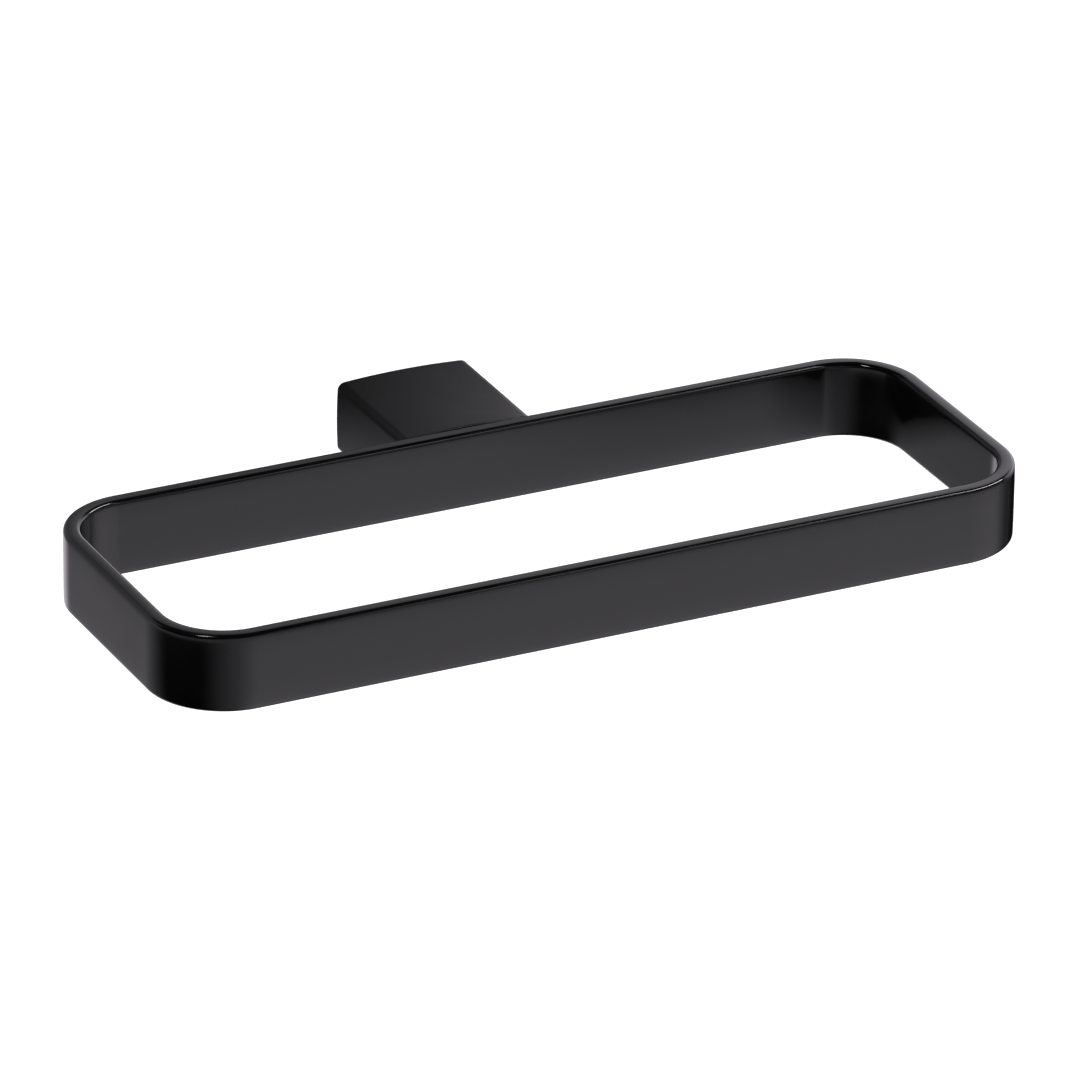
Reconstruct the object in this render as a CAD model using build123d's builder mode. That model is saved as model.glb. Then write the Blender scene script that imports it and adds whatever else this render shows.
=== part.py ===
from build123d import *
from math import radians, sin, tan
import os

# Wall towel ring: a flat bar bent into a long rounded rectangle, on a short hollow post.
# Millimetres. The origin is the middle of the post's wall end. The wall is the plane Y = 0,
# the ring stands out along -Y, +X is to the right for someone facing the wall, and +Z is up.

# Ring: overall outline, then the bar that it is bent from
ring_length = 230.0
ring_depth = 85.0
bend_radius = 20.0
band_height = 20.0
band_thickness = 4.5
band_edge_radius = 1.0

# Post: a block whose four sides all swell a little, hollow from the wall end
post_width = 36.0
post_height = 20.0
post_length = 37.5
post_top_crown = 0.7
post_side_crown = 0.3
post_corner_radius = 1.8
post_rim_chamfer = 0.4
post_wall = 2.5
post_front_wall = 5.0
cavity_corner_radius = 1.5

# Screws that hold the ring on the post, put in through the hollow
ring_screw_diameter = 4.0
ring_screw_spacing = 14.0
ring_screw_grip = 3.2
ring_screw_head_diameter = 7.6
ring_screw_head_height = 2.2
ring_screw_key = 2.5
ring_screw_key_depth = 1.3
ring_screw_hole_clearance = 0.2
tapped_hole_spare = 0.4

# Wall plate: sits in the mouth of the hollow and is screwed to the wall
plate_depth = 8.0
plate_clearance = 0.25
wall_hole_diameter = 4.5
wall_hole_spacing = 17.0
wall_screw_head_diameter = 8.2
countersink_angle = 90.0

# Grub screw: its cone point sits in a groove of the same angle under the wall plate
grub_diameter = 4.0
grub_recess = 0.3
grub_key = 2.0
grub_key_depth = 1.6
grub_end_chamfer = 0.4
groove_depth = 1.9
groove_angle = 90.0
groove_clearance = 0.05

# Room around a screw in a tapped hole, on the radius
thread_clearance = 0.05

# Places that follow from the sizes above
ring_back = -post_length
ring_middle = ring_back - ring_depth / 2
cavity_width = post_width - 2 * (post_side_crown + post_wall)
cavity_height = post_height - 2 * (post_top_crown + post_wall)
cavity_depth = post_length - post_front_wall
plate_width = cavity_width - 2 * plate_clearance
plate_height = cavity_height - 2 * plate_clearance
plate_corner_radius = max(cavity_corner_radius - plate_clearance, 0.1 * plate_height)
grub_from_wall = plate_depth / 2
groove_half_angle = radians(groove_angle / 2)
groove_half_width = groove_depth * tan(groove_half_angle)
groove_apex = groove_depth - plate_height / 2
grub_bottom = grub_recess - post_height / 2
grub_length = groove_apex - groove_clearance / sin(groove_half_angle) - grub_bottom
grub_cone = grub_diameter / 2 / tan(groove_half_angle)

# Planes: facing the wall from the ring's back and from the floor of the hollow, then facing down
ring_back_plane = Plane(origin=(0, ring_back, 0), x_dir=(1, 0, 0), z_dir=(0, 1, 0))
cavity_floor_plane = Plane(origin=(0, -cavity_depth, 0), x_dir=(1, 0, 0), z_dir=(0, 1, 0))
underside_plane = Plane(origin=(0, -grub_from_wall, -post_height / 2), x_dir=(1, 0, 0), z_dir=(0, 0, -1))

os.makedirs("parts", exist_ok=True)

# Ring: the bar's section is carried round the middle line of the bent bar
half_length = (ring_length - band_thickness) / 2
half_depth = (ring_depth - band_thickness) / 2
with BuildPart() as ring:
    with BuildLine() as middle_line:
        FilletPolyline(
            (-half_length, ring_middle + half_depth),
            (-half_length, ring_middle - half_depth),
            (half_length, ring_middle - half_depth),
            (half_length, ring_middle + half_depth),
            radius=bend_radius - band_thickness / 2,
            close=True,
        )
    bar_path = middle_line.wire()
    along = bar_path % 0
    with BuildSketch(Plane(origin=bar_path @ 0, x_dir=Vector(0, 0, 1).cross(along), z_dir=along)):
        RectangleRounded(band_thickness, band_height, min(band_edge_radius, 0.4 * band_thickness))
    sweep(path=bar_path)
    # tapped holes for the two screws, blind so that the inner face stays plain
    with Locations(ring_back_plane):
        with GridLocations(ring_screw_spacing, 0, 2, 1):
            Hole(ring_screw_diameter / 2 + thread_clearance, depth=ring_screw_grip + tapped_hole_spare)
ring.part.label = "ring"
export_step(ring.part, "parts/ring.step")

# Post: crowned section, straight from the wall to the ring, then hollowed
with BuildPart() as post:
    with BuildSketch(Plane.XZ) as post_section:
        corner_x = post_width / 2 - post_side_crown
        corner_z = post_height / 2 - post_top_crown
        with BuildLine():
            top = ThreePointArc((-corner_x, corner_z), (0, post_height / 2), (corner_x, corner_z))
            right = ThreePointArc(top @ 1, (post_width / 2, 0), (corner_x, -corner_z))
            under = ThreePointArc(right @ 1, (0, -post_height / 2), (-corner_x, -corner_z))
            ThreePointArc(under @ 1, (-post_width / 2, 0), top @ 0)
        make_face()
        fillet(post_section.vertices(), post_corner_radius)
    extrude(amount=post_length)
    chamfer(post.faces().sort_by(Axis.Y)[-1].edges(), post_rim_chamfer)
    with BuildSketch(Plane.XZ):
        RectangleRounded(cavity_width, cavity_height, cavity_corner_radius)
    extrude(amount=cavity_depth, mode=Mode.SUBTRACT)
    with Locations(cavity_floor_plane):
        with GridLocations(ring_screw_spacing, 0, 2, 1):
            Hole(ring_screw_diameter / 2 + ring_screw_hole_clearance, depth=post_front_wall)
    with Locations(underside_plane):
        Hole(grub_diameter / 2 + thread_clearance, depth=post_height / 2)
post.part.label = "post"
export_step(post.part, "parts/post.step")

# Ring screws: two low heads on the floor of the hollow, shanks through the front wall into the ring
with BuildPart() as ring_screws:
    with BuildSketch(cavity_floor_plane):
        with GridLocations(ring_screw_spacing, 0, 2, 1):
            Circle(ring_screw_head_diameter / 2)
    extrude(amount=ring_screw_head_height)
    with BuildSketch(cavity_floor_plane):
        with GridLocations(ring_screw_spacing, 0, 2, 1):
            Circle(ring_screw_diameter / 2)
    extrude(amount=-(post_front_wall + ring_screw_grip))
    with BuildSketch(cavity_floor_plane.offset(ring_screw_head_height)):
        with GridLocations(ring_screw_spacing, 0, 2, 1):
            RegularPolygon(ring_screw_key / 2, 6, major_radius=False)
    extrude(amount=-ring_screw_key_depth, mode=Mode.SUBTRACT)
ring_screws.part.label = "ring_screws"
export_step(ring_screws.part, "parts/ring_screws.step")

# Wall plate: a block in the mouth of the hollow, with a groove under it for the grub screw's point
with BuildPart() as wall_plate:
    with BuildSketch(Plane.XZ):
        RectangleRounded(plate_width, plate_height, plate_corner_radius)
    extrude(amount=plate_depth)
    with Locations(Plane.XZ.offset(plate_depth)):
        with GridLocations(wall_hole_spacing, 0, 2, 1):
            CounterSinkHole(
                wall_hole_diameter / 2,
                wall_screw_head_diameter / 2,
                depth=plate_depth,
                counter_sink_angle=countersink_angle,
            )
    with BuildSketch(Plane.YZ):
        with BuildLine():
            Polyline(
                (-grub_from_wall - groove_half_width, -plate_height / 2),
                (-grub_from_wall + groove_half_width, -plate_height / 2),
                (-grub_from_wall, groove_apex),
                close=True,
            )
        make_face()
    extrude(amount=plate_width / 2, both=True, mode=Mode.SUBTRACT)
wall_plate.part.label = "wall_plate"
export_step(wall_plate.part, "parts/wall_plate.step")

# Grub screw: turned cone point, with a hexagon socket at its outer end
grub_axis = Axis((0, -grub_from_wall, 0), (0, 0, 1))
with BuildPart() as grub_screw:
    with BuildSketch(Plane(origin=(0, -grub_from_wall, grub_bottom), x_dir=(1, 0, 0), z_dir=(0, -1, 0))):
        with BuildLine():
            Polyline(
                (0, 0),
                (grub_diameter / 2 - grub_end_chamfer, 0),
                (grub_diameter / 2, grub_end_chamfer),
                (grub_diameter / 2, grub_length - grub_cone),
                (0, grub_length),
                close=True,
            )
        make_face()
    revolve(axis=grub_axis)
    with BuildSketch(Plane.XY.offset(grub_bottom)):
        with Locations((0, -grub_from_wall)):
            RegularPolygon(grub_key / 2, 6, major_radius=False)
    extrude(amount=grub_key_depth, mode=Mode.SUBTRACT)
grub_screw.part.label = "grub_screw"
export_step(grub_screw.part, "parts/grub_screw.step")
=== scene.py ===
# %% [markdown]
# # A wall towel ring in black lacquer
# The ring is one flat bar, bent into a long rounded rectangle and joined into a loop.
# A short hollow post carries it off the wall. The CAD model already holds every piece at its
# real size, so this lesson only dresses it: smooth surfaces, finishes, light and a camera.

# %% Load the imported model
import math

import bmesh
import bpy
import numpy as np
from mathutils import Matrix, Vector


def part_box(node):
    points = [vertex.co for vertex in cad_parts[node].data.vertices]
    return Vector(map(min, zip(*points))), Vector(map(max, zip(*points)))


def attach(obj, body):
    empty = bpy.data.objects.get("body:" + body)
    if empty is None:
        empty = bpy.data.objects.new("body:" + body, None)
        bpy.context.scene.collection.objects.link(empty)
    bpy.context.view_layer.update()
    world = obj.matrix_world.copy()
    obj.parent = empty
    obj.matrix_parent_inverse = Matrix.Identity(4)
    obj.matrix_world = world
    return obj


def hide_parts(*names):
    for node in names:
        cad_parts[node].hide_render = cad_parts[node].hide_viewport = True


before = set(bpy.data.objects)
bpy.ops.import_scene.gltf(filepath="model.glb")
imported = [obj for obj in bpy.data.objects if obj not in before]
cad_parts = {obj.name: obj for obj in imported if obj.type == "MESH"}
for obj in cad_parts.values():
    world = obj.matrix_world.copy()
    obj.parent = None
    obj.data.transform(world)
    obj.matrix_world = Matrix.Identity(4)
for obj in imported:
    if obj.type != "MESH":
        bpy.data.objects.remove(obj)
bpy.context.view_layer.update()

print("CAD nodes:", sorted(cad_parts))

# %% [markdown]
# ## Sizes
# The boxes of the CAD nodes give the big sizes. The few that a box can't show, such as the
# bar's thickness and the radius of its bends, are written here once, in metres.

# %% Sizes from the frame, and the sizes that a box can't give
MM = 0.001
ring_low, ring_high = (np.array(corner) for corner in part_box("ring"))
post_low, post_high = (np.array(corner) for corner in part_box("post"))
grub_low, grub_high = (np.array(corner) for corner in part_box("grub_screw"))
ring_size = ring_high - ring_low
ring_centre = (ring_high + ring_low) / 2
post_size = post_high - post_low
bar_thickness = 4.5 * MM
bend_radius = 20 * MM
print("ring size in mm:", np.round(ring_size / MM, 2), "post size in mm:", np.round(post_size / MM, 2))

# %% [markdown]
# ## Surfaces from arrays
# Every new piece is a grid of points worked out with numpy. Neighbouring points of the grid
# make four-sided faces, so one helper turns any grid into faces, and another joins several
# grids into one mesh and welds the points that two grids share. A welded mesh has no open
# seams, which matters for the shading as well as for anyone who prints the piece.

# %% From grids of points to one closed mesh
weld_distance = 0.001 * MM
flat_distance = 0.0005 * MM


def grid_faces(shape, wrap_rows=False, wrap_columns=False):
    """Corner numbers of the faces of a grid: each face joins a point, the next one along its
    row, and the two beside them in the next row. A wrapped grid also joins its last to its first."""
    rows, columns = shape
    number = np.arange(rows * columns).reshape(rows, columns)
    if wrap_rows:
        number = np.vstack([number, number[:1]])
    if wrap_columns:
        number = np.hstack([number, number[:, :1]])
    corners = (number[:-1, :-1], number[:-1, 1:], number[1:, 1:], number[1:, :-1])
    return np.stack(corners, axis=-1).reshape(-1, 4)


def make_piece(name, patches, sharp_angle):
    """Joins patches, each a pair of points and faces, welds shared points, drops faces that the
    weld has flattened, turns all faces outwards and keeps edges sharper than the angle crisp."""
    first = np.cumsum([0] + [len(points) for points, _ in patches])
    points = np.vstack([points for points, _ in patches])
    faces = np.vstack([faces + start for (_, faces), start in zip(patches, first)])
    mesh = bpy.data.meshes.new(name)
    mesh.from_pydata(points.tolist(), [], faces.tolist())
    build = bmesh.new()
    build.from_mesh(mesh)
    bmesh.ops.remove_doubles(build, verts=build.verts, dist=weld_distance)
    bmesh.ops.dissolve_degenerate(build, edges=build.edges, dist=flat_distance)
    bmesh.ops.recalc_face_normals(build, faces=build.faces)
    build.to_mesh(mesh)
    open_edges = sum(1 for edge in build.edges if len(edge.link_faces) != 2)
    build.free()
    mesh.shade_smooth()
    mesh.set_sharp_from_angle(angle=sharp_angle)
    piece = bpy.data.objects.new(name, mesh)
    bpy.context.scene.collection.objects.link(piece)
    print(name, "has", len(mesh.polygons), "faces and", open_edges, "open edges")
    return piece


# %% [markdown]
# ## A rounded rectangle, the one curve behind both pieces
# The loop of the ring, the section of its bar, the post and its hollow are all rectangles with
# round corners. A drawing program would store them as lines and arcs. Here a point on the curve
# is the centre of its corner arc plus the radius times the outward direction. Along a straight
# side the direction stays the same and the centre slides to the next corner, so the same two
# arrays also give every curve that runs beside this one.


# %% Corner centres and outward directions of a rounded rectangle
def rounded_rectangle(half_width, half_height, radius, across, up, bend):
    """Centres and outward directions around a rounded rectangle, starting where its right side
    meets the upper right bend. A point of the curve is its centre plus the radius times its
    direction. The last three are the steps along a wide side, along an upright side and round a bend."""
    x, y = half_width - radius, half_height - radius
    corners = np.array([(x, y), (-x, y), (-x, -y), (x, -y)])
    steps = (across, up, across, up)
    centres, turns = [], []
    for quarter in range(4):
        here, after = corners[quarter], corners[(quarter + 1) % 4]
        turn = (quarter + np.linspace(0, 1, bend + 1)) * math.pi / 2
        slide = np.linspace(0, 1, steps[quarter] + 1)[1:-1, None]
        centres += [np.repeat(here[None], bend + 1, axis=0), here + slide * (after - here)]
        turns += [turn, np.full(len(slide), turn[-1])]
    turn = np.concatenate(turns)
    return np.vstack(centres), np.stack([np.cos(turn), np.sin(turn)], axis=-1)


# %% [markdown]
# ## The ring
# On the real ring a flat bar with softened edges is bent round four times. A curve object with a
# bevel profile could follow that path, but its corners are hard to control. Carrying the bar's
# section round the path by formula keeps the thickness exact in the bends. The narrow edges of
# rolled bar are never quite flat, so they swell by a tenth of a millimetre in the middle, and the
# wide faces draw in by as much towards their edges.

# %% Ring: the bar's section
edge_radius = 1.0 * MM
edge_crown, crown_power = 0.1 * MM, 2
face_roll, roll_power = 0.1 * MM, 4
section_steps = (10, 24, 10)
section_centre, section_out = rounded_rectangle(
    bar_thickness / 2, ring_size[2] / 2, edge_radius, *section_steps)
section = section_centre + edge_radius * section_out
half_section = np.array([bar_thickness, ring_size[2]]) / 2
share = section / half_section
# a face draws in with a power of the height, and a narrow edge with a power of the place across it
draw_in = np.array([face_roll, edge_crown]) / half_section * share[:, ::-1] ** [roll_power, crown_power]
beside, height = (section * (1 - draw_in)).T
print("the bar's section has", len(section), "points")

# %% Ring: the section carried round the loop
path_steps = (120, 30, 48)
ring_crisp_angle = math.radians(60)
path_centre, path_out = rounded_rectangle(ring_size[0] / 2, ring_size[1] / 2, bend_radius, *path_steps)
reach = bend_radius - bar_thickness / 2 + beside
flat_points = path_centre[:, None] + path_out[:, None] * reach[None, :, None]
level = np.broadcast_to(height[None, :, None], flat_points.shape[:2] + (1,))
ring_points = np.concatenate([flat_points, level], axis=-1) + ring_centre
ring_faces = grid_faces(ring_points.shape[:2], wrap_rows=True, wrap_columns=True)
ring_piece = make_piece("bent_ring", [(ring_points.reshape(-1, 3), ring_faces)], ring_crisp_angle)
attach(ring_piece, "root")
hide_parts("ring")

# %% [markdown]
# ## The post
# The post is a die-cast block. Its top and bottom swell by 0.7 mm and its sides by 0.3 mm, its
# edges are rounded, and it is hollow from the wall side. A cube with Bevel and Boolean modifiers
# would come close, but the crowns would need sculpting. So it is made as a stack of loops: from the
# middle of the front face round its softened edge, along the block to the wall, round the rim there
# and back into the hollow. A small square of the underside is left out and filled by rings of points
# that turn from the square into the round hole of the locking screw.

# %% Post: sizes and the two sections
post_crown = np.array([0.3, 0.7]) * MM
post_corner = 1.8 * MM
post_rim = 0.4 * MM
post_front_edge = 0.4 * MM
post_wall = 2.5 * MM
post_front_wall = 5.0 * MM
hollow_corner = 1.5 * MM
side_steps = (72, 40, 10)
half_post = post_size[[0, 2]] / 2
half_hollow = half_post - post_crown - post_wall


def post_outline(inset):
    """The post's section, drawn in by an inset: a rounded rectangle whose sides bow inwards
    from their middles to the corners by the crown, as a parabola."""
    centre, out = rounded_rectangle(*half_post, post_corner, *side_steps)
    flat = centre + (post_corner - inset) * out
    share = flat / half_post
    return flat * (1 - post_crown / half_post * share[:, ::-1] ** 2)


def loop_at(outline, y):
    """A flat outline as a loop of points across the post, at one distance from the wall."""
    return np.stack([outline[:, 0], np.full(len(outline), y), outline[:, 1]], axis=-1)


hollow_centre, hollow_out = rounded_rectangle(*half_hollow, hollow_corner, *side_steps)
hollow_outline = hollow_centre + hollow_corner * hollow_out
print("hollow in mm:", np.round(2 * half_hollow / MM, 2))

# %% Post: the square round the locking screw's hole
thread_room = 0.05 * MM
grub_hole_radius = (grub_high[0] - grub_low[0]) / 2 + thread_room
grub_y = (grub_low[1] + grub_high[1]) / 2


def holed_square(half, cells, rings, surface):
    """Rings of points from the edge of a square to the round hole in its middle. Each point runs
    straight from the square's edge to the circle, and the surface formula gives its height."""
    side = np.linspace(-1, 1, cells + 1)[:-1]
    one = np.ones(cells)
    square = half * np.vstack([
        np.stack([side, -one], -1), np.stack([one, side], -1),
        np.stack([-side, one], -1), np.stack([-one, -side], -1),
    ])
    circle = grub_hole_radius * square / np.linalg.norm(square, axis=1, keepdims=True)
    blend = np.linspace(0, 1, rings + 1)[:, None, None]
    flat = square + blend * (circle - square)
    return np.stack([flat[..., 0], flat[..., 1] + grub_y, surface(flat[..., 0])], axis=-1)


def underside(x):
    """Height of the post's underside: lowest in the middle, rising by the crown to each side."""
    return -half_post[1] * (1 - post_crown[1] / half_post[1] * (x / half_post[0]) ** 2)


def hollow_bottom(x):
    """Height of the hollow's flat lower wall."""
    return np.full(np.shape(x), -half_hollow[1])


def without_square(points, faces, half):
    """Leaves out the faces under the post whose middles lie within the square round the hole."""
    middle = points[faces].mean(axis=1)
    inside = (np.abs(middle[:, :2] - [0, grub_y]) < half).all(axis=1) & (middle[:, 2] < 0)
    return faces[~inside]


print("the hole's radius in mm:", round(grub_hole_radius / MM, 2))

# %% Post: the stack of loops
hair = 1e-6  # closes an end to a point, and keeps a row that rounding would lose
rim_steps = 6


def rows_past_hole(start, end, cell):
    """Distances from the wall in steps of one cell, with the hole's middle on one of them. They are
    rounded to a nanometre, so that equal rows count once."""
    first = math.ceil((end - grub_y) / cell - hair)
    last = math.floor((start - grub_y) / cell + hair)
    rows = grub_y + cell * np.arange(last, first - 1, -1)
    return np.unique(np.concatenate([[start, end], rows]).round(9))[::-1]


outer_cell = 2 * (half_post[0] - post_corner) / side_steps[0]
inner_cell = 2 * (half_hollow[0] - hollow_corner) / side_steps[0]
rim_turn = np.linspace(0, math.pi / 2, rim_steps + 1)
front_y, floor_y = post_low[1], post_low[1] + post_front_wall
loops = [loop_at(post_outline(0) * hair, front_y)]
loops += [loop_at(post_outline(post_front_edge * (1 - math.sin(t))),
                  front_y + post_front_edge * (1 - math.cos(t))) for t in rim_turn]
loops += [loop_at(post_outline(0), y)
          for y in rows_past_hole(-post_rim, front_y + post_front_edge, outer_cell)[::-1]]
loops += [loop_at(post_outline(post_rim * (1 - math.cos(t))), post_rim * (math.sin(t) - 1))
          for t in rim_turn]
loops += [loop_at(hollow_outline, y) for y in rows_past_hole(0, floor_y, inner_cell)]
loops += [loop_at(hollow_outline * hair, floor_y)]
print("the post has", len(loops), "loops of", len(hollow_outline), "points")

# %% Post: the hole, and the finished piece
hole_cells = 12
outer_rings, inner_rings, wall_rings = 4, 2, 8
post_crisp_angle = math.radians(40)
outer_square = hole_cells / 2 * outer_cell * np.array([1 - post_crown[0] / half_post[0], 1])
inner_square = hole_cells / 2 * inner_cell * np.ones(2)
shell_points = np.stack(loops)
shell_faces = grid_faces(shell_points.shape[:2], wrap_columns=True)
shell_points = shell_points.reshape(-1, 3)
outer_wall = np.abs(shell_points[shell_faces].mean(axis=1)[:, 2]) > half_hollow[1] + post_wall / 2
shell_faces = np.vstack([
    without_square(shell_points, shell_faces[outer_wall], outer_square),
    without_square(shell_points, shell_faces[~outer_wall], inner_square),
])
outer_patch = holed_square(outer_square, hole_cells, outer_rings, underside)
inner_patch = holed_square(inner_square, hole_cells, inner_rings, hollow_bottom)
wall_share = np.linspace(0, 1, wall_rings + 1)[:, None, None]
hole_wall = outer_patch[-1] + wall_share * (inner_patch[-1] - outer_patch[-1])
patches = [(shell_points, shell_faces)]
patches += [(p.reshape(-1, 3), grid_faces(p.shape[:2], wrap_columns=True))
            for p in (outer_patch, inner_patch, hole_wall)]
post_piece = make_piece("cast_post", patches, post_crisp_angle)
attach(post_piece, "root")
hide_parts("post")

# %% [markdown]
# ## Building finishes from nodes
# A finish is never one flat colour: even good lacquer varies a little in gloss and carries a faint
# ripple. Nodes could be placed by hand in the Shader Editor. In a script, a helper that adds a node,
# sets it and links it in one call keeps each recipe short enough to read.


# %% Helpers for nodes and groups
def add_node(tree, kind, inputs=None, **settings):
    """Adds one node. An input that is a socket gets a link, and any other input gets a value."""
    node = tree.nodes.new(kind)
    for name, value in settings.items():
        setattr(node, name, value)
    for name, value in (inputs or {}).items():
        if isinstance(value, bpy.types.NodeSocket):
            tree.links.new(value, node.inputs[name])
        else:
            node.inputs[name].default_value = value
    return node


def calculate(tree, operation, *values):
    """One Math node: the operation on its values, which are sockets or numbers."""
    return add_node(tree, "ShaderNodeMath", dict(enumerate(values)), operation=operation).outputs[0]


def soft_step(tree, value, start, end, low=0.0, high=1.0):
    """Runs smoothly from low to high while the value goes from start to end, and stays there."""
    limits = {"Value": value, "From Min": start, "From Max": end, "To Min": low, "To Max": high}
    return add_node(tree, "ShaderNodeMapRange", limits, interpolation_type="SMOOTHSTEP").outputs["Result"]


def new_group(name, inputs, outputs):
    """An empty node group, given the names and types of its sockets."""
    tree = bpy.data.node_groups.new(name, "ShaderNodeTree")
    for direction, sockets in (("INPUT", inputs), ("OUTPUT", outputs)):
        for socket_name, kind in sockets.items():
            tree.interface.new_socket(socket_name, in_out=direction, socket_type="NodeSocket" + kind)
    return tree, tree.nodes.new("NodeGroupInput").outputs, tree.nodes.new("NodeGroupOutput").inputs


# %% Helpers for materials
def new_finish(name, shader_values):
    """A material with its Principled shader. Values that are the same all over are set on it here."""
    material = bpy.data.materials.new(name)
    material.use_nodes = True
    tree = material.node_tree
    shader = tree.nodes["Principled BSDF"]
    for socket_name, value in shader_values.items():
        shader.inputs[socket_name].default_value = value
    place = tree.nodes.new("ShaderNodeTexCoord").outputs["Object"]
    return material, tree, shader, place


def dress(tree, shader, cloudy, rough, height):
    """Links colour and roughness from one group and the bump from another, at its real height."""
    bump = add_node(tree, "ShaderNodeBump", {"Height": rough.outputs["Height"], "Distance": height})
    tree.links.new(cloudy.outputs["Color"], shader.inputs["Base Color"])
    tree.links.new(cloudy.outputs["Roughness"], shader.inputs["Roughness"])
    tree.links.new(bump.outputs["Normal"], shader.inputs["Normal"])


# %% [markdown]
# ## Effects that the finishes share
# **Mottle** lets colour and gloss drift in soft clouds, as they do on any lacquer, casting or oxide.
# **Skin** is the ripple that a coat keeps when it dries: broad low waves with a fine grain on top.
# **Turning marks** are the rings that a lathe tool leaves. All three could be painted as images, but
# noise and waves need no picture and have no seams.

# %% Node group: mottle
mottle, mottle_in, mottle_out = new_group(
    "mottle",
    {"Vector": "Vector", "Scale": "Float", "Dark": "Color", "Light": "Color",
     "Gloss": "Float", "Dull": "Float"},
    {"Color": "Color", "Roughness": "Float"},
)
cloud_low, cloud_high = 0.3, 0.7
first_colour, second_colour, mixed_colour = 6, 7, 2  # the Mix node's sockets for colours
clouds = add_node(mottle, "ShaderNodeTexNoise", {
    "Vector": mottle_in["Vector"], "Scale": mottle_in["Scale"], "Detail": 5.0, "Roughness": 0.6})
cloud = soft_step(mottle, clouds.outputs["Fac"], cloud_low, cloud_high)
shades = add_node(mottle, "ShaderNodeMix", {
    0: cloud, first_colour: mottle_in["Dark"], second_colour: mottle_in["Light"]}, data_type="RGBA")
mottle.links.new(shades.outputs[mixed_colour], mottle_out["Color"])
roughness = soft_step(mottle, cloud, 0.0, 1.0, mottle_in["Gloss"], mottle_in["Dull"])
mottle.links.new(roughness, mottle_out["Roughness"])
print("node group", mottle.name, "has", len(mottle.nodes), "nodes")

# %% Node group: skin
skin, skin_in, skin_out = new_group(
    "skin",
    {"Vector": "Vector", "Wave Scale": "Float", "Grain Scale": "Float", "Grain": "Float"},
    {"Height": "Float"},
)
waves = add_node(skin, "ShaderNodeTexNoise", {
    "Vector": skin_in["Vector"], "Scale": skin_in["Wave Scale"], "Detail": 1.0})
grain = add_node(skin, "ShaderNodeTexNoise", {
    "Vector": skin_in["Vector"], "Scale": skin_in["Grain Scale"], "Detail": 2.0})
grain_height = calculate(skin, "MULTIPLY", grain.outputs["Fac"], skin_in["Grain"])
skin.links.new(calculate(skin, "ADD", waves.outputs["Fac"], grain_height), skin_out["Height"])
print("node group", skin.name, "has", len(skin.nodes), "nodes")

# %% Node group: turning marks
turning, turning_in, turning_out = new_group(
    "turning_marks", {"Vector": "Vector", "Pitch": "Float"}, {"Height": "Float"})
level_only = (1.0, 1.0, 0.0)
ridge_share = 0.5
wobble = add_node(turning, "ShaderNodeTexNoise", {
    "Vector": turning_in["Vector"], "Scale": 600.0, "Detail": 2.0})
along = add_node(turning, "ShaderNodeSeparateXYZ", {"Vector": turning_in["Vector"]}).outputs["Z"]
radius = add_node(turning, "ShaderNodeVectorMath", {
    0: turning_in["Vector"], 1: level_only}, operation="MULTIPLY").outputs["Vector"]
distance = add_node(turning, "ShaderNodeVectorMath", {0: radius}, operation="LENGTH").outputs["Value"]
travel = calculate(turning, "DIVIDE", calculate(turning, "ADD", along, distance), turning_in["Pitch"])
ridge = calculate(turning, "SINE", calculate(turning, "MULTIPLY", travel, 2 * math.pi))
marks = calculate(turning, "MULTIPLY_ADD", ridge, ridge_share, wobble.outputs["Fac"])
turning.links.new(marks, turning_out["Height"])
print("node group", turning.name, "has", len(turning.nodes), "nodes")

# %% [markdown]
# ## Black lacquer on the ring and the post
# The ring is stoved with a smooth black lacquer that mirrors the room softly. The post has the same
# black with a duller, finer-grained face, because the casting under it is not as smooth as the bar.
# Both are one recipe with different numbers: a nearly black base, a narrow band of roughness from
# the mottle, and a bump from the skin that is only thousandths of a millimetre high.

# %% Lacquer
lacquer_dark, lacquer_light = (0.0016, 0.0016, 0.0018, 1.0), (0.0028, 0.0028, 0.003, 1.0)


def lacquer(name, cloud_scale, gloss, dull, wave_scale, grain_scale, grain_share, ripple):
    """Black lacquer: mottle gives its colour and roughness, and skin gives its ripple, in metres."""
    material, tree, shader, place = new_finish(name, {"IOR": 1.5})
    cloudy = add_node(tree, "ShaderNodeGroup", {
        "Vector": place, "Scale": cloud_scale, "Gloss": gloss, "Dull": dull,
        "Dark": lacquer_dark, "Light": lacquer_light,
    }, node_tree=mottle)
    rippled = add_node(tree, "ShaderNodeGroup", {
        "Vector": place, "Wave Scale": wave_scale, "Grain Scale": grain_scale, "Grain": grain_share,
    }, node_tree=skin)
    dress(tree, shader, cloudy, rippled, ripple)
    print(name, "has a roughness of", gloss, "to", dull)
    return material


ring_piece.data.materials.append(lacquer(
    "ring_lacquer", cloud_scale=45.0, gloss=0.07, dull=0.13,
    wave_scale=500.0, grain_scale=3000.0, grain_share=0.2, ripple=0.0015 * MM))
post_piece.data.materials.append(lacquer(
    "post_lacquer", cloud_scale=70.0, gloss=0.32, dull=0.38,
    wave_scale=900.0, grain_scale=4500.0, grain_share=0.4, ripple=0.0015 * MM))

# %% [markdown]
# ## Bare metals inside the post
# The pieces that the post hides are plain: a cast zinc block, two stainless screws and a blackened
# locking screw. They show from behind and from below. Their CAD shapes are right as they are, so
# only their finishes are made here, on the CAD objects themselves.


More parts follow.
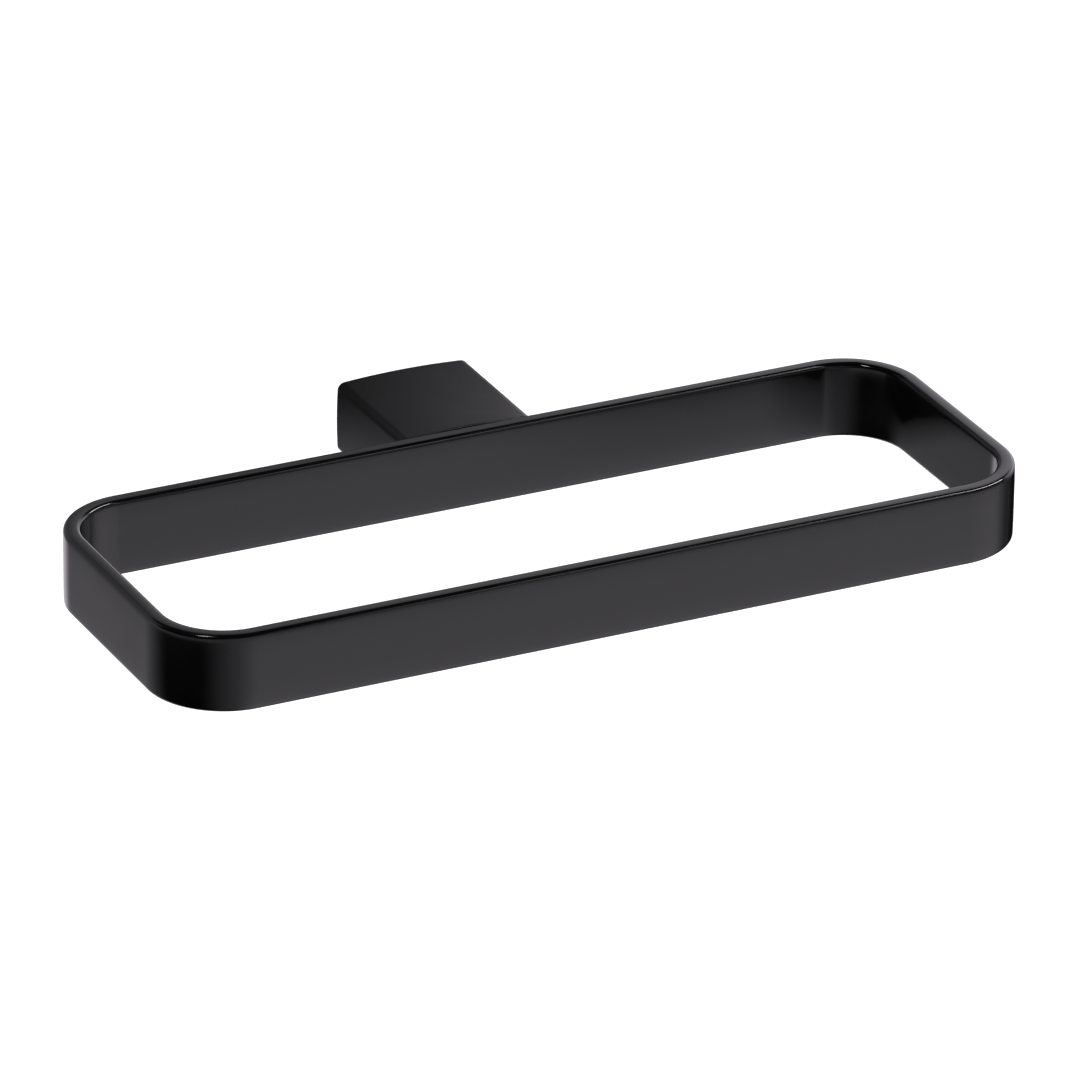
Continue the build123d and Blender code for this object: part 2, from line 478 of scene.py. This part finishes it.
# %% Zinc, stainless steel and black oxide
def bare_metal(node_name, metallic, dark, light, gloss, dull, cloud_scale, turn, pitch, depth):
    """Bare metal on a CAD node: mottled colour and roughness, with marks turned about its axis."""
    material, tree, shader, place = new_finish(node_name + "_metal", {"Metallic": metallic})
    cloudy = add_node(tree, "ShaderNodeGroup", {
        "Vector": place, "Scale": cloud_scale, "Gloss": gloss, "Dull": dull,
        "Dark": (*dark, 1.0), "Light": (*light, 1.0),
    }, node_tree=mottle)
    low, high = (np.array(corner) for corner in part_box(node_name))
    centred = add_node(tree, "ShaderNodeMapping", {
        "Vector": place, "Location": tuple((low + high) / 2), "Rotation": turn}, vector_type="TEXTURE")
    turned = add_node(tree, "ShaderNodeGroup", {
        "Vector": centred.outputs["Vector"], "Pitch": pitch}, node_tree=turning)
    dress(tree, shader, cloudy, turned, depth)
    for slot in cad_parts[node_name].material_slots:
        slot.material = material
    print(node_name, "is dressed in", material.name)


upright, along_y = (0.0, 0.0, 0.0), (math.pi / 2, 0.0, 0.0)
bare_metal("wall_plate", metallic=1.0, dark=(0.42, 0.42, 0.43), light=(0.55, 0.55, 0.55),
           gloss=0.35, dull=0.55, cloud_scale=400.0, turn=along_y, pitch=0.9 * MM, depth=0.003 * MM)
bare_metal("ring_screws", metallic=1.0, dark=(0.5, 0.5, 0.49), light=(0.6, 0.6, 0.58),
           gloss=0.2, dull=0.35, cloud_scale=500.0, turn=along_y, pitch=0.25 * MM, depth=0.004 * MM)
bare_metal("grub_screw", metallic=0.0, dark=(0.02, 0.02, 0.021), light=(0.04, 0.04, 0.042),
           gloss=0.3, dull=0.5, cloud_scale=900.0, turn=upright, pitch=0.25 * MM, depth=0.004 * MM)

# %% [markdown]
# ## The studio
# Black lacquer shows almost nothing of its own: what we see is the room in it. The room here is a
# dome of soft panels, each a patch of light given by its compass direction and height, with blurred
# borders. An environment picture could do this too, but panels can be moved one by one. The two low
# panels are for the faces that show from behind and from the sides. The camera itself sees plain
# white, and only the reflections and the light on the object come from the dome.

# %% Node group: one soft panel of the dome
panel_columns = ("Centre Azimuth", "Centre Elevation", "Half Width", "Half Height",
                 "Side Blur", "Top Blur", "Strength")
panel, panel_in, panel_out = new_group(
    "soft_panel", {name: "Float" for name in ("Azimuth", "Elevation", *panel_columns)}, {"Light": "Float"})


def falloff(offset, half_size, blur):
    """One inside a panel and nought outside it, with a blurred border on the panel's edge."""
    away = calculate(panel, "ABSOLUTE", offset)
    reach = calculate(panel, "MULTIPLY", blur, 0.5)
    start = calculate(panel, "ADD", half_size, reach)
    return soft_step(panel, away, calculate(panel, "SUBTRACT", half_size, reach), start, 1.0, 0.0)


around = calculate(panel, "SUBTRACT", panel_in["Azimuth"], panel_in["Centre Azimuth"])
around = calculate(panel, "WRAP", around, 180, -180)
over = calculate(panel, "SUBTRACT", panel_in["Elevation"], panel_in["Centre Elevation"])
inside = calculate(panel, "MULTIPLY", falloff(around, panel_in["Half Width"], panel_in["Side Blur"]),
                   falloff(over, panel_in["Half Height"], panel_in["Top Blur"]))
panel.links.new(calculate(panel, "MULTIPLY", inside, panel_in["Strength"]), panel_out["Light"])
print("node group", panel.name, "has", len(panel.nodes), "nodes")

# %% The dome's panels, in the order of the columns: azimuth 0 is the front and 90 the right, in degrees
panels = {
    "front floor": (22, -20, 50, 38, 66, 40, 0.6),
    "front right floor": (46, -50, 36, 25, 40, 24, 1.0),
    "front right wall": (53, -12, 26, 16, 5, 18, 0.14),
    "right floor": (95, -40, 18, 40, 16, 30, 0.08),
    "back floor": (173, -50, 22, 27, 24, 40, 1.2),
    "left floor": (-162, -50, 35, 27, 45, 40, 0.64),
    "back right wall": (122, 14, 30, 15, 15, 16, 1.35),
    "back right sill": (131, 7, 24, 4, 12, 10, 1.2),
    "back wall": (153, 20, 18, 12, 14, 12, 0.26),
    "back left wall": (-155, 12, 33, 26, 14, 12, 0.36),
    "low right": (130, -12, 28, 10, 24, 2, 0.5),
    "low left": (-84, -12, 54, 10, 36, 2, 0.4),
}
print("the dome has", len(panels), "panels")

# %% The dome
dome_base, room_tint = 0.012, (0.94, 0.9, 0.97)
world = bpy.data.worlds.new("studio")
bpy.context.scene.world = world
world.use_nodes = True
dome = world.node_tree
direction = dome.nodes.new("ShaderNodeTexCoord").outputs["Generated"]
ray = add_node(dome, "ShaderNodeSeparateXYZ", {"Vector": direction}).outputs
forwards = calculate(dome, "MULTIPLY", ray["Y"], -1)
ray_azimuth = calculate(dome, "DEGREES", calculate(dome, "ARCTAN2", ray["X"], forwards))
ray_elevation = calculate(dome, "DEGREES", calculate(dome, "ARCSINE", ray["Z"]))
light = dome_base
for values in panels.values():
    lit = add_node(dome, "ShaderNodeGroup", {
        "Azimuth": ray_azimuth, "Elevation": ray_elevation, **dict(zip(panel_columns, values)),
    }, node_tree=panel)
    light = calculate(dome, "ADD", lit.outputs["Light"], light)
camera_ray = dome.nodes.new("ShaderNodeLightPath").outputs["Is Camera Ray"]
tinted = add_node(dome, "ShaderNodeVectorMath", {
    0: room_tint, "Scale": light}, operation="SCALE").outputs[0]
shown = add_node(dome, "ShaderNodeVectorMath", {
    0: tinted, 1: camera_ray}, operation="MAXIMUM").outputs[0]
dome.links.new(shown, dome.nodes["Background"].inputs["Color"])
bpy.context.scene.view_settings.view_transform = "Standard"
print("the world", world.name, "has", len(dome.nodes), "nodes")

# %% [markdown]
# ## Strip lamps
# The thin bright lines on the rounded edges are images of strip lamps. More panels in the dome could
# give them, but an area lamp is the natural choice: it gives a crisp image in the lacquer and lights
# the floor as well. Its power follows from its size and how bright its face should look.


# %% Lamps
def strip_lamp(name, towards, distance, length, width, run, brightness):
    """An area lamp seen from the ring in one direction, with its long side along another. A face that
    looks as bright as asked gives pi times that brightness for each square metre."""
    facing = Vector(towards).normalized()
    side = Vector(run) - Vector(run).dot(facing) * facing
    side.normalize()
    lamp = bpy.data.lights.new(name, "AREA")
    lamp.shape = "RECTANGLE"
    lamp.size, lamp.size_y = length, width
    lamp.energy = math.pi * length * width * brightness
    piece = bpy.data.objects.new(name, lamp)
    bpy.context.scene.collection.objects.link(piece)
    turn = Matrix((side, facing.cross(side), facing)).transposed().to_4x4()
    piece.matrix_world = Matrix.Translation(Vector(ring_centre) + facing * distance) @ turn
    piece.visible_camera = False
    print(name, "gives", round(lamp.energy, 1), "watts")


strip_lamp("right_strip", towards=(0.70, -0.05, 0.71), distance=1.4, length=0.85, width=0.16,
           run=(0.35, 0.26, -0.33), brightness=22.0)
strip_lamp("left_strip", towards=(-0.41, -0.13, 0.90), distance=1.4, length=0.3, width=0.12,
           run=(1.0, 0.0, 0.45), brightness=22.0)
strip_lamp("over_strip", towards=(0.43, -0.56, 0.70), distance=1.2, length=0.8, width=0.1,
           run=(0.04, -0.9, 0.0), brightness=1.6)

# %% [markdown]
# ## Painted shade in the reflections
# Near the object the room isn't even: the wall round the post lies in shade, and so does the room
# close round the bars. That shade is painted into the reflections with plain cards that only
# reflections see. A card dims what passes through it, and fades out towards its ends and its
# free edge, so no border of it shows in the lacquer.


# %% Cards that paint shade into the reflections
def painted_shade_card(name, start, end, dark_z, clear_z, share, fades):
    """A card of painted shade that only reflections see, standing on a line between two heights.
    It lets only a share of the light through along its dark edge and all of it along the other,
    and fades out towards its two ends."""
    corners = [(*start, dark_z), (*end, dark_z), (*end, clear_z), (*start, clear_z)]
    mesh = bpy.data.meshes.new(name)
    mesh.from_pydata(corners, [], [(0, 1, 2, 3)])
    card = bpy.data.objects.new(name, mesh)
    bpy.context.scene.collection.objects.link(card)
    material = bpy.data.materials.new(name)
    material.use_nodes = True
    tree = material.node_tree
    tree.nodes.clear()
    place = tree.nodes.new("ShaderNodeTexCoord").outputs["Object"]
    height = add_node(tree, "ShaderNodeSeparateXYZ", {"Vector": place}).outputs["Z"]
    limits = {"Value": height, "From Min": dark_z, "From Max": clear_z, "To Min": 1.0, "To Max": 0.0}
    dark = add_node(tree, "ShaderNodeMapRange", limits).outputs["Result"]
    for corner, fade in zip((start, end), fades):
        level_gap = add_node(tree, "ShaderNodeVectorMath", {
            0: place, 1: level_only, 2: (-corner[0], -corner[1], 0.0)}, operation="MULTIPLY_ADD").outputs[0]
        away = add_node(tree, "ShaderNodeVectorMath", {0: level_gap}, operation="LENGTH").outputs["Value"]
        dark = calculate(tree, "MULTIPLY", dark, soft_step(tree, away, 0.0, fade))
    clear = calculate(tree, "SUBTRACT", 1.0, calculate(tree, "MULTIPLY", dark, 1.0 - share))
    veil = add_node(tree, "ShaderNodeBsdfTransparent", {"Color": clear})
    out = tree.nodes.new("ShaderNodeOutputMaterial")
    tree.links.new(veil.outputs["BSDF"], out.inputs["Surface"])
    mesh.materials.append(material)
    card.visible_camera = card.visible_diffuse = card.visible_shadow = False
    print("painted_shade_card", name, "lets", share, "of the light through along its dark edge")


# %% Painted shade at the wall round the post, seen only in reflections
wall_y = 1 * MM
wall_ends = ((-90 * MM, wall_y), (62 * MM, wall_y))
wall_fades = (50 * MM, 36 * MM)
painted_shade_card("wall_shade_above", *wall_ends, dark_z=6 * MM, clear_z=46 * MM, share=0.2, fades=wall_fades)
painted_shade_card("wall_shade_below", *wall_ends, dark_z=6 * MM, clear_z=-26 * MM, share=0.14, fades=wall_fades)

# %% Painted shade under, beside and above the bars, seen only in reflections
back_y, near_y = ring_high[1] - bar_thickness / 2, ring_low[1] + bar_thickness / 2
right_x = ring_high[0] - bar_thickness / 2
top_y = back_y + 10 * MM
half_height = ring_high[2]
no_fade = 0.1 * MM
painted_shade_card("back_bar_painted_shade", (-25 * MM, back_y), (right_x, back_y),
     dark_z=-half_height, clear_z=-half_height - 10 * MM, share=0.02, fades=(50 * MM, no_fade))
painted_shade_card("right_bar_painted_shade", (right_x, back_y), (right_x, ring_low[1] + 12 * MM),
     dark_z=-half_height, clear_z=-half_height - 28 * MM, share=0.2, fades=(no_fade, 20 * MM))
painted_shade_card("front_bar_painted_shade", (30 * MM, near_y), (right_x + 48 * MM, near_y),
     dark_z=-half_height - 6 * MM, clear_z=-half_height - 42 * MM, share=0.3, fades=(75 * MM, 24 * MM))
painted_shade_card("top_painted_shade", (52 * MM, top_y), (right_x + 3 * MM, top_y),
     dark_z=half_height + 8 * MM, clear_z=half_height + 44 * MM, share=0.0, fades=(18 * MM, 4 * MM))

# %% [markdown]
# ## The floor and the lamp over it
# A plain pale floor lies under the ring, and a wide lamp above lights both evenly. The lamp stays out
# of the reflections, which have the dome. A share of the floor's brightness is only for the camera,
# so it reads as white, and the rest is lit, so it keeps the object's shadow. That share grows with
# the distance, so the far floor is as white as the room behind it.

# %% Overhead lamp
fill_size, fill_power, fill_place = 3.0, 45.0, (0.0, 0.2, 2.0)
fill = bpy.data.lights.new("fill", "AREA")
fill.size = fill_size
fill.energy = fill_power
fill_lamp = bpy.data.objects.new("fill", fill)
bpy.context.scene.collection.objects.link(fill_lamp)
fill_lamp.location = fill_place
fill_lamp.visible_camera = fill_lamp.visible_glossy = False
print("the overhead lamp gives", fill_power, "watts")

# %% Floor
floor_drop, floor_size = 0.35, 12.0
near_glow, far_glow = 0.5, 1.0
glow_start, glow_end = 0.6, 2.5
floor_z = ring_low[2] - floor_drop
half_floor = floor_size / 2
floor_corners = [(x * half_floor, y * half_floor, floor_z) for x, y in ((-1, -1), (1, -1), (1, 1), (-1, 1))]
floor_mesh = bpy.data.meshes.new("floor")
floor_mesh.from_pydata(floor_corners, [], [(0, 1, 2, 3)])
floor = bpy.data.objects.new("floor", floor_mesh)
bpy.context.scene.collection.objects.link(floor)
floor_paint, floor_tree, floor_shader, floor_place = new_finish("floor_paint", {
    "Base Color": (0.85, 0.85, 0.85, 1), "Roughness": 0.9, "Emission Color": (1, 1, 1, 1)})
seen = floor_tree.nodes.new("ShaderNodeLightPath").outputs["Is Camera Ray"]
away = add_node(floor_tree, "ShaderNodeVectorMath", {0: floor_place}, operation="LENGTH").outputs["Value"]
glow = soft_step(floor_tree, away, glow_start, glow_end, near_glow, far_glow)
camera_glow = calculate(floor_tree, "MULTIPLY", seen, glow)
floor_tree.links.new(camera_glow, floor_shader.inputs["Emission Strength"])
floor_mesh.materials.append(floor_paint)
floor.visible_glossy = False
print("the floor lies at", round(floor_z, 3), "m")

# %% [markdown]
# ## The camera
# The photograph was taken from a little to the left and above, with a long lens. The angles below
# come from fitting the ring's outline, and the lens follows from the scale of that fit.

# %% Camera
azimuth, elevation, roll = (math.radians(a) for a in (-26.286, 25.316, 0.702))
camera_distance = 2.366
aim_shift = np.array([-0.631, -2.499]) * MM
focal_length_pixels, picture_pixels, sensor_width = 9761.8, 1080, 36.0
back = Vector((math.sin(azimuth) * math.cos(elevation), -math.cos(azimuth) * math.cos(elevation),
               math.sin(elevation)))
level_right = Vector((math.cos(azimuth), math.sin(azimuth), 0))
level_up = back.cross(level_right)
right = math.cos(roll) * level_right + math.sin(roll) * level_up
up = math.cos(roll) * level_up - math.sin(roll) * level_right
camera = bpy.data.objects.new("camera", bpy.data.cameras.new("camera"))
bpy.context.scene.collection.objects.link(camera)
camera.data.sensor_width = sensor_width
camera.data.lens = focal_length_pixels / picture_pixels * sensor_width
camera_place = Vector(ring_centre) + back * camera_distance + right * aim_shift[0] + up * aim_shift[1]
camera.matrix_world = Matrix.Translation(camera_place) @ Matrix((right, up, back)).transposed().to_4x4()
bpy.context.scene.camera = camera
print("the lens is", round(camera.data.lens, 1), "mm long")
